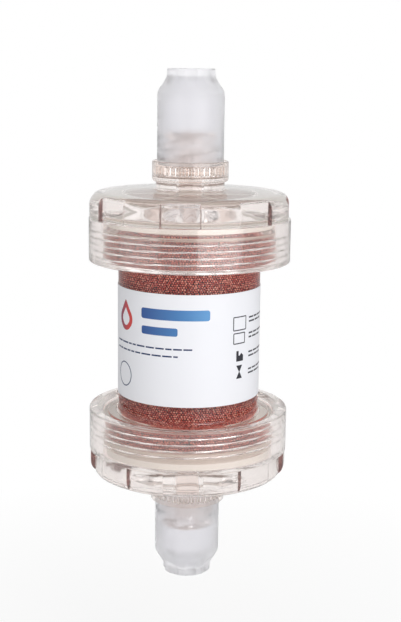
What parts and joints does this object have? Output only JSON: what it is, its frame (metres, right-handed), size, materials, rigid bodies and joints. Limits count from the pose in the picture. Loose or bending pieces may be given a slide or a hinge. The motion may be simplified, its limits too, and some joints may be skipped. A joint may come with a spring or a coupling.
{
  "type": "hemoperfusion cartridge",
  "caption": "Clear cylindrical cartridge packed with sorbent beads, with a screw lid, a threaded blood port and a protective cap at each end.",
  "frame": {"origin": "middle of the barrel, on its axis", "axes": "+Z along the axis towards the upper port, -Y towards the front of the label"},
  "size_m": [0.05, 0.05, 0.1282],
  "materials": {
    "clear_shell": "clear polycarbonate with a faint warm tint, glossy",
    "sorbent": "packed red-brown beads of about half a millimetre",
    "label_film": null,
    "milky_cap": "milky translucent polyethylene, satin",
    "silicone": "translucent silicone",
    "mesh": "fine white polyester mesh",
    "frame_plastic": "natural white polypropylene"
  },
  "bodies": {
    "cartridge": {"barrel": "clear_shell", "sorbent_bed": "sorbent", "label": "label_film", "upper_lid": "clear_shell", "lower_lid": "clear_shell", "upper_port": "clear_shell", "lower_port": "clear_shell", "upper_seal": "silicone", "lower_seal": "silicone", "upper_screen": "mesh", "lower_screen": "mesh", "upper_screen_frame": "frame_plastic", "lower_screen_frame": "frame_plastic"},
    "upper_cap": {"upper_cap": "milky_cap"},
    "lower_cap": {"lower_cap": "milky_cap"}
  },
  "joints": [
    {"name": "upper_cap_lift", "type": "slide", "parent": "cartridge", "child": "upper_cap", "axis": [0, 0, 1], "range_m": [0, 0.03]},
    {"name": "lower_cap_lift", "type": "slide", "parent": "cartridge", "child": "lower_cap", "axis": [0, 0, -1], "range_m": [0, 0.03]}
  ]
}
